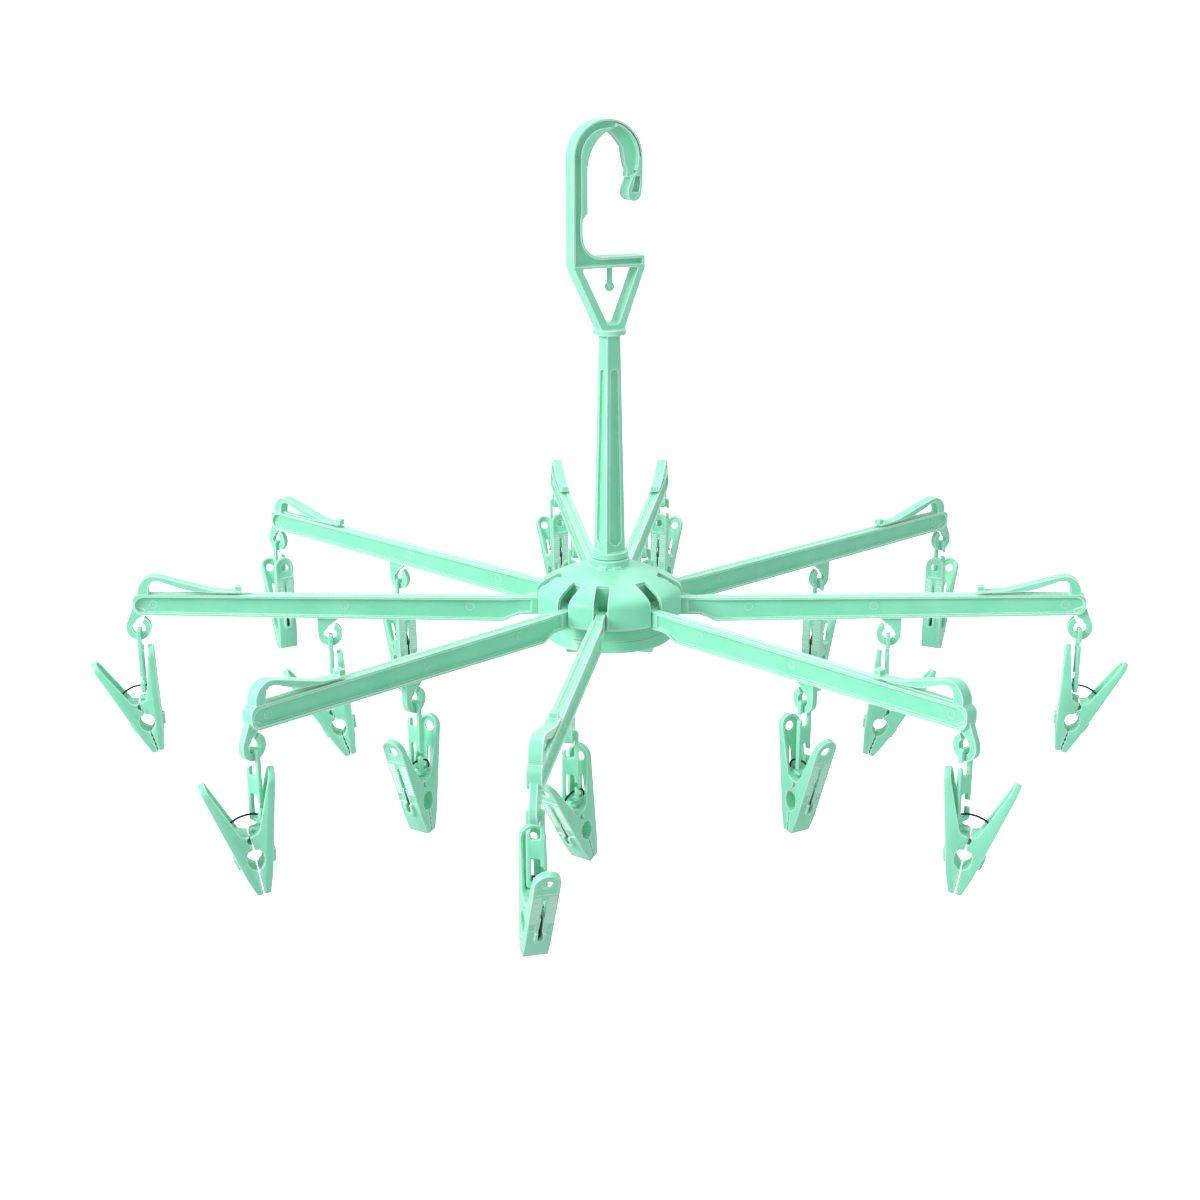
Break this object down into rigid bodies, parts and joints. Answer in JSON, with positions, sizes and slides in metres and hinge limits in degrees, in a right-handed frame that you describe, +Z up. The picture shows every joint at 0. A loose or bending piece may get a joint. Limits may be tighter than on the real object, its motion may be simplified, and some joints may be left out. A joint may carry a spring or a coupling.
{
  "type": "clip_drying_hanger",
  "caption": "Mint green plastic hanging clip dryer: swivelling open hook, tapered stem, round slotted hub, folding arms with sprung finger tips and pairs of hanging spring clips.",
  "frame": {"origin": "the inner apex of the hook, where the rail rests, in the middle of the hook's thickness", "axes": "+Z up along the hanging direction; the front arm points along -Y, seven degrees toward -X; X runs to the right when facing the front arm"},
  "size_m": [0.6544, 0.6495, 0.4032],
  "materials": {
    "mint_plastic": "satin moulded",
    "steel": "dark steel"
  },
  "bodies": {
    "hook": {"hook": "mint_plastic"},
    "stem": {"stem": "mint_plastic", "stem_washer": "steel", "stem_screw": "steel"},
    "hub": {"hub_cover": "mint_plastic", "hub_base": "mint_plastic", "hub_screws": "steel", "arm_pins": "steel"},
    "arm_left": {"arm_left": "mint_plastic"},
    "clip_left_tip": {"clip_left_tip": "mint_plastic"},
    "jaw_left_tip": {"jaw_left_tip": "mint_plastic"},
    "clip_left_mid": {"clip_left_mid": "mint_plastic"},
    "jaw_left_mid": {"jaw_left_mid": "mint_plastic"},
    "arm_front_left": {"arm_front_left": "mint_plastic"},
    "clip_front_left_tip": {"clip_front_left_tip": "mint_plastic"},
    "jaw_front_left_tip": {"jaw_front_left_tip": "mint_plastic"},
    "clip_front_left_mid": {"clip_front_left_mid": "mint_plastic"},
    "jaw_front_left_mid": {"jaw_front_left_mid": "mint_plastic"},
    "arm_front": {"arm_front": "mint_plastic"},
    "clip_front_tip": {"clip_front_tip": "mint_plastic"},
    "jaw_front_tip": {"jaw_front_tip": "mint_plastic"},
    "clip_front_mid": {"clip_front_mid": "mint_plastic"},
    "jaw_front_mid": {"jaw_front_mid": "mint_plastic"},
    "arm_front_right": {"arm_front_right": "mint_plastic"},
    "clip_front_right_tip": {"clip_front_right_tip": "mint_plastic"},
    "jaw_front_right_tip": {"jaw_front_right_tip": "mint_plastic"},
    "clip_front_right_mid": {"clip_front_right_mid": "mint_plastic"},
    "jaw_front_right_mid": {"jaw_front_right_mid": "mint_plastic"},
    "arm_right": {"arm_right": "mint_plastic"},
    "clip_right_tip": {"clip_right_tip": "mint_plastic"},
    "jaw_right_tip": {"jaw_right_tip": "mint_plastic"},
    "clip_right_mid": {"clip_right_mid": "mint_plastic"},
    "jaw_right_mid": {"jaw_right_mid": "mint_plastic"},
    "arm_back_right": {"arm_back_right": "mint_plastic"},
    "clip_back_right_tip": {"clip_back_right_tip": "mint_plastic"},
    "jaw_back_right_tip": {"jaw_back_right_tip": "mint_plastic"},
    "clip_back_right_mid": {"clip_back_right_mid": "mint_plastic"},
    "jaw_back_right_mid": {"jaw_back_right_mid": "mint_plastic"},
    "arm_rear_right": {"arm_rear_right": "mint_plastic"},
    "clip_rear_right_tip": {"clip_rear_right_tip": "mint_plastic"},
    "jaw_rear_right_tip": {"jaw_rear_right_tip": "mint_plastic"},
    "clip_rear_right_mid": {"clip_rear_right_mid": "mint_plastic"},
    "jaw_rear_right_mid": {"jaw_rear_right_mid": "mint_plastic"},
    "arm_rear_left": {"arm_rear_left": "mint_plastic"},
    "clip_rear_left_tip": {"clip_rear_left_tip": "mint_plastic"},
    "jaw_rear_left_tip": {"jaw_rear_left_tip": "mint_plastic"},
    "clip_rear_left_mid": {"clip_rear_left_mid": "mint_plastic"},
    "jaw_rear_left_mid": {"jaw_rear_left_mid": "mint_plastic"},
    "arm_back_left": {"arm_back_left": "mint_plastic"},
    "clip_back_left_tip": {"clip_back_left_tip": "mint_plastic"},
    "jaw_back_left_tip": {"jaw_back_left_tip": "mint_plastic"},
    "clip_back_left_mid": {"clip_back_left_mid": "mint_plastic"},
    "jaw_back_left_mid": {"jaw_back_left_mid": "mint_plastic"}
  },
  "joints": [
    {"name": "hook_swivel", "type": "hinge", "parent": "hook", "child": "stem", "pos_m": [0.0021, 0.00093, -0.1227], "axis": [0, 0, 1], "continuous": true},
    {"name": "hub_swivel", "type": "hinge", "parent": "stem", "child": "hub", "pos_m": [0.0021, 0.00093, -0.2653], "axis": [0, 0, 1], "continuous": true},
    {"name": "arm_fold_left", "type": "hinge", "parent": "hub", "child": "arm_left", "pos_m": [-0.03562, -0.0037, -0.2967], "axis": [-0.1219, 0.9925, 0], "range_deg": [0, 75]},
    {"name": "clip_swing_left_tip", "type": "hinge", "parent": "arm_left", "child": "clip_left_tip", "pos_m": [-0.29348, -0.03536, -0.3016], "axis": [-0.1219, 0.9925, 0], "range_deg": [-68, 40]},
    {"name": "jaw_open_left_tip", "type": "hinge", "parent": "clip_left_tip", "child": "jaw_left_tip", "pos_m": [-0.2958, -0.03585, -0.35275], "axis": [-0.2079, 0.9781, 0], "range_deg": [0, 25], "stiffness_Nm_per_rad": 0.4, "springref_deg": -20.05},
    {"name": "clip_swing_left_mid", "type": "hinge", "parent": "arm_left", "child": "clip_left_mid", "pos_m": [-0.17586, -0.02092, -0.3106], "axis": [-0.1219, 0.9925, 0], "range_deg": [-68, 40]},
    {"name": "jaw_open_left_mid", "type": "hinge", "parent": "clip_left_mid", "child": "jaw_left_mid", "pos_m": [-0.17678, -0.02106, -0.36186], "axis": [-0.1564, 0.9877, 0], "range_deg": [0, 25], "stiffness_Nm_per_rad": 0.4, "springref_deg": -20.05},
    {"name": "arm_fold_front_left", "type": "hinge", "parent": "hub", "child": "arm_front_left", "pos_m": [-0.02166, -0.02872, -0.2967], "axis": [-0.7804, 0.6252, 0], "range_deg": [0, 75]},
    {"name": "clip_swing_front_left_tip", "type": "hinge", "parent": "arm_front_left", "child": "clip_front_left_tip", "pos_m": [-0.1841, -0.23148, -0.3016], "axis": [-0.7804, 0.6252, 0], "range_deg": [-60, 40]},
    {"name": "jaw_open_front_left_tip", "type": "hinge", "parent": "clip_front_left_tip", "child": "jaw_front_left_tip", "pos_m": [-0.188, -0.23269, -0.35234], "axis": [-0.2974, 0.9548, 0], "range_deg": [0, 25], "stiffness_Nm_per_rad": 0.4, "springref_deg": -20.05},
    {"name": "clip_swing_front_left_mid", "type": "hinge", "parent": "arm_front_left", "child": "clip_front_left_mid", "pos_m": [-0.11001, -0.139, -0.3106], "axis": [-0.7804, 0.6252, 0], "range_deg": [-60, 40]},
    {"name": "jaw_open_front_left_mid", "type": "hinge", "parent": "clip_front_left_mid", "child": "jaw_front_left_mid", "pos_m": [-0.10987, -0.13877, -0.36164], "axis": [-0.8599, 0.5105, 0], "range_deg": [0, 25], "stiffness_Nm_per_rad": 0.4, "springref_deg": -20.05},
    {"name": "arm_fold_front", "type": "hinge", "parent": "hub", "child": "arm_front", "pos_m": [-0.00253, -0.03678, -0.2967], "axis": [-0.9925, 0.1219, 0], "range_deg": [0, 75]},
    {"name": "clip_swing_front_tip", "type": "hinge", "parent": "arm_front", "child": "clip_front_tip", "pos_m": [-0.03417, -0.29443, -0.3084], "axis": [-0.9925, 0.1219, 0], "range_deg": [-68, 40]},
    {"name": "jaw_open_front_tip", "type": "hinge", "parent": "clip_front_tip", "child": "jaw_front_tip", "pos_m": [-0.03398, -0.29512, -0.35959], "axis": [-0.9659, -0.2588, 0], "range_deg": [0, 25], "stiffness_Nm_per_rad": 0.4, "springref_deg": -20.05},
    {"name": "clip_swing_front_mid", "type": "hinge", "parent": "arm_front", "child": "clip_front_mid", "pos_m": [-0.0197, -0.17662, -0.31429], "axis": [-0.9925, 0.1219, 0], "range_deg": [-68, 40]},
    {"name": "jaw_open_front_mid", "type": "hinge", "parent": "clip_front_mid", "child": "jaw_front_mid", "pos_m": [-0.01825, -0.17455, -0.3651], "axis": [-0.8192, 0.5736, 0], "range_deg": [0, 25], "stiffness_Nm_per_rad": 0.4, "springref_deg": -20.05},
    {"name": "arm_fold_front_right", "type": "hinge", "parent": "hub", "child": "arm_front_right", "pos_m": [0.02586, -0.02872, -0.2967], "axis": [-0.7804, -0.6252, 0], "range_deg": [0, 75]},
    {"name": "clip_swing_front_right_tip", "type": "hinge", "parent": "arm_front_right", "child": "clip_front_right_tip", "pos_m": [0.1883, -0.23148, -0.3016], "axis": [-0.7804, -0.6252, 0], "range_deg": [-60, 40]},
    {"name": "jaw_open_front_right_tip", "type": "hinge", "parent": "clip_front_right_tip", "child": "jaw_front_right_tip", "pos_m": [0.1922, -0.23269, -0.35234], "axis": [-0.2974, -0.9548, 0], "range_deg": [0, 25], "stiffness_Nm_per_rad": 0.4, "springref_deg": -20.05},
    {"name": "clip_swing_front_right_mid", "type": "hinge", "parent": "arm_front_right", "child": "clip_front_right_mid", "pos_m": [0.11421, -0.139, -0.3106], "axis": [-0.7804, -0.6252, 0], "range_deg": [-60, 40]},
    {"name": "jaw_open_front_right_mid", "type": "hinge", "parent": "clip_front_right_mid", "child": "jaw_front_right_mid", "pos_m": [0.11407, -0.13877, -0.36164], "axis": [-0.8599, -0.5105, 0], "range_deg": [0, 25], "stiffness_Nm_per_rad": 0.4, "springref_deg": -20.05},
    {"name": "arm_fold_right", "type": "hinge", "parent": "hub", "child": "arm_right", "pos_m": [0.03982, -0.0037, -0.2967], "axis": [-0.1219, -0.9925, 0], "range_deg": [0, 75]},
    {"name": "clip_swing_right_tip", "type": "hinge", "parent": "arm_right", "child": "clip_right_tip", "pos_m": [0.29768, -0.03536, -0.3016], "axis": [-0.1219, -0.9925, 0], "range_deg": [-68, 40]},
    {"name": "jaw_open_right_tip", "type": "hinge", "parent": "clip_right_tip", "child": "jaw_right_tip", "pos_m": [0.30001, -0.03585, -0.35275], "axis": [-0.2079, -0.9781, 0], "range_deg": [0, 25], "stiffness_Nm_per_rad": 0.4, "springref_deg": -20.05},
    {"name": "clip_swing_right_mid", "type": "hinge", "parent": "arm_right", "child": "clip_right_mid", "pos_m": [0.18007, -0.02092, -0.3106], "axis": [-0.1219, -0.9925, 0], "range_deg": [-68, 40]},
    {"name": "jaw_open_right_mid", "type": "hinge", "parent": "clip_right_mid", "child": "jaw_right_mid", "pos_m": [0.18099, -0.02106, -0.36186], "axis": [-0.1564, -0.9877, 0], "range_deg": [0, 25], "stiffness_Nm_per_rad": 0.4, "springref_deg": -20.05},
    {"name": "arm_fold_back_right", "type": "hinge", "parent": "hub", "child": "arm_back_right", "pos_m": [0.03338, 0.02251, -0.2967], "axis": [0.5678, -0.8231, 0], "range_deg": [0, 75]},
    {"name": "clip_swing_back_right_tip", "type": "hinge", "parent": "arm_back_right", "child": "clip_back_right_tip", "pos_m": [0.24723, 0.17004, -0.3016], "axis": [0.5678, -0.8231, 0], "range_deg": [-68, 40]},
    {"name": "jaw_open_back_right_tip", "type": "hinge", "parent": "clip_back_right_tip", "child": "jaw_back_right_tip", "pos_m": [0.24763, 0.17074, -0.35277], "axis": [0.8712, -0.4909, 0], "range_deg": [0, 25], "stiffness_Nm_per_rad": 0.4, "springref_deg": -20.05},
    {"name": "clip_swing_back_right_mid", "type": "hinge", "parent": "arm_back_right", "child": "clip_back_right_mid", "pos_m": [0.14969, 0.10275, -0.3106], "axis": [0.5678, -0.8231, 0], "range_deg": [-68, 40]},
    {"name": "jaw_open_back_right_mid", "type": "hinge", "parent": "clip_back_right_mid", "child": "jaw_back_right_mid", "pos_m": [0.14979, 0.10294, -0.36177], "axis": [0.8796, -0.4756, 0], "range_deg": [0, 25], "stiffness_Nm_per_rad": 0.4, "springref_deg": -20.05},
    {"name": "arm_fold_rear_right", "type": "hinge", "parent": "hub", "child": "arm_rear_right", "pos_m": [0.00765, 0.03853, -0.2967], "axis": [0.9893, -0.1461, 0], "range_deg": [0, 75]},
    {"name": "clip_swing_rear_right_tip", "type": "hinge", "parent": "arm_rear_right", "child": "clip_rear_right_tip", "pos_m": [0.0456, 0.29554, -0.3016], "axis": [0.9893, -0.1461, 0], "range_deg": [-68, 40]},
    {"name": "jaw_open_rear_right_tip", "type": "hinge", "parent": "clip_rear_right_tip", "child": "jaw_rear_right_tip", "pos_m": [0.04581, 0.29598, -0.3528], "axis": [0.9107, -0.4131, 0], "range_deg": [0, 25], "stiffness_Nm_per_rad": 0.4, "springref_deg": -20.05},
    {"name": "clip_swing_rear_right_mid", "type": "hinge", "parent": "arm_rear_right", "child": "clip_rear_right_mid", "pos_m": [0.02829, 0.17831, -0.3106], "axis": [0.9893, -0.1461, 0], "range_deg": [-60, 40]},
    {"name": "jaw_open_rear_right_mid", "type": "hinge", "parent": "clip_rear_right_mid", "child": "jaw_rear_right_mid", "pos_m": [0.02909, 0.18371, -0.3609], "axis": [0.9893, -0.1461, 0], "range_deg": [0, 25], "stiffness_Nm_per_rad": 0.4, "springref_deg": -20.05},
    {"name": "arm_fold_rear_left", "type": "hinge", "parent": "hub", "child": "arm_rear_left", "pos_m": [-0.00345, 0.03853, -0.2967], "axis": [0.9893, 0.1461, 0], "range_deg": [0, 75]},
    {"name": "clip_swing_rear_left_tip", "type": "hinge", "parent": "arm_rear_left", "child": "clip_rear_left_tip", "pos_m": [-0.0414, 0.29554, -0.3016], "axis": [0.9893, 0.1461, 0], "range_deg": [-68, 40]},
    {"name": "jaw_open_rear_left_tip", "type": "hinge", "parent": "clip_rear_left_tip", "child": "jaw_rear_left_tip", "pos_m": [-0.0416, 0.29598, -0.3528], "axis": [0.9107, 0.4131, 0], "range_deg": [0, 25], "stiffness_Nm_per_rad": 0.4, "springref_deg": -20.05},
    {"name": "clip_swing_rear_left_mid", "type": "hinge", "parent": "arm_rear_left", "child": "clip_rear_left_mid", "pos_m": [-0.02409, 0.17831, -0.3106], "axis": [0.9893, 0.1461, 0], "range_deg": [-60, 40]},
    {"name": "jaw_open_rear_left_mid", "type": "hinge", "parent": "clip_rear_left_mid", "child": "jaw_rear_left_mid", "pos_m": [-0.02489, 0.18371, -0.3609], "axis": [0.9893, 0.1461, 0], "range_deg": [0, 25], "stiffness_Nm_per_rad": 0.4, "springref_deg": -20.05},
    {"name": "arm_fold_back_left", "type": "hinge", "parent": "hub", "child": "arm_back_left", "pos_m": [-0.02918, 0.02251, -0.2967], "axis": [0.5678, 0.8231, 0], "range_deg": [0, 75]},
    {"name": "clip_swing_back_left_tip", "type": "hinge", "parent": "arm_back_left", "child": "clip_back_left_tip", "pos_m": [-0.24303, 0.17004, -0.3016], "axis": [0.5678, 0.8231, 0], "range_deg": [-68, 40]},
    {"name": "jaw_open_back_left_tip", "type": "hinge", "parent": "clip_back_left_tip", "child": "jaw_back_left_tip", "pos_m": [-0.24342, 0.17074, -0.35277], "axis": [0.8712, 0.4909, 0], "range_deg": [0, 25], "stiffness_Nm_per_rad": 0.4, "springref_deg": -20.05},
    {"name": "clip_swing_back_left_mid", "type": "hinge", "parent": "arm_back_left", "child": "clip_back_left_mid", "pos_m": [-0.14549, 0.10275, -0.3106], "axis": [0.5678, 0.8231, 0], "range_deg": [-68, 40]},
    {"name": "jaw_open_back_left_mid", "type": "hinge", "parent": "clip_back_left_mid", "child": "jaw_back_left_mid", "pos_m": [-0.14559, 0.10294, -0.36177], "axis": [0.8796, 0.4756, 0], "range_deg": [0, 25], "stiffness_Nm_per_rad": 0.4, "springref_deg": -20.05}
  ]
}
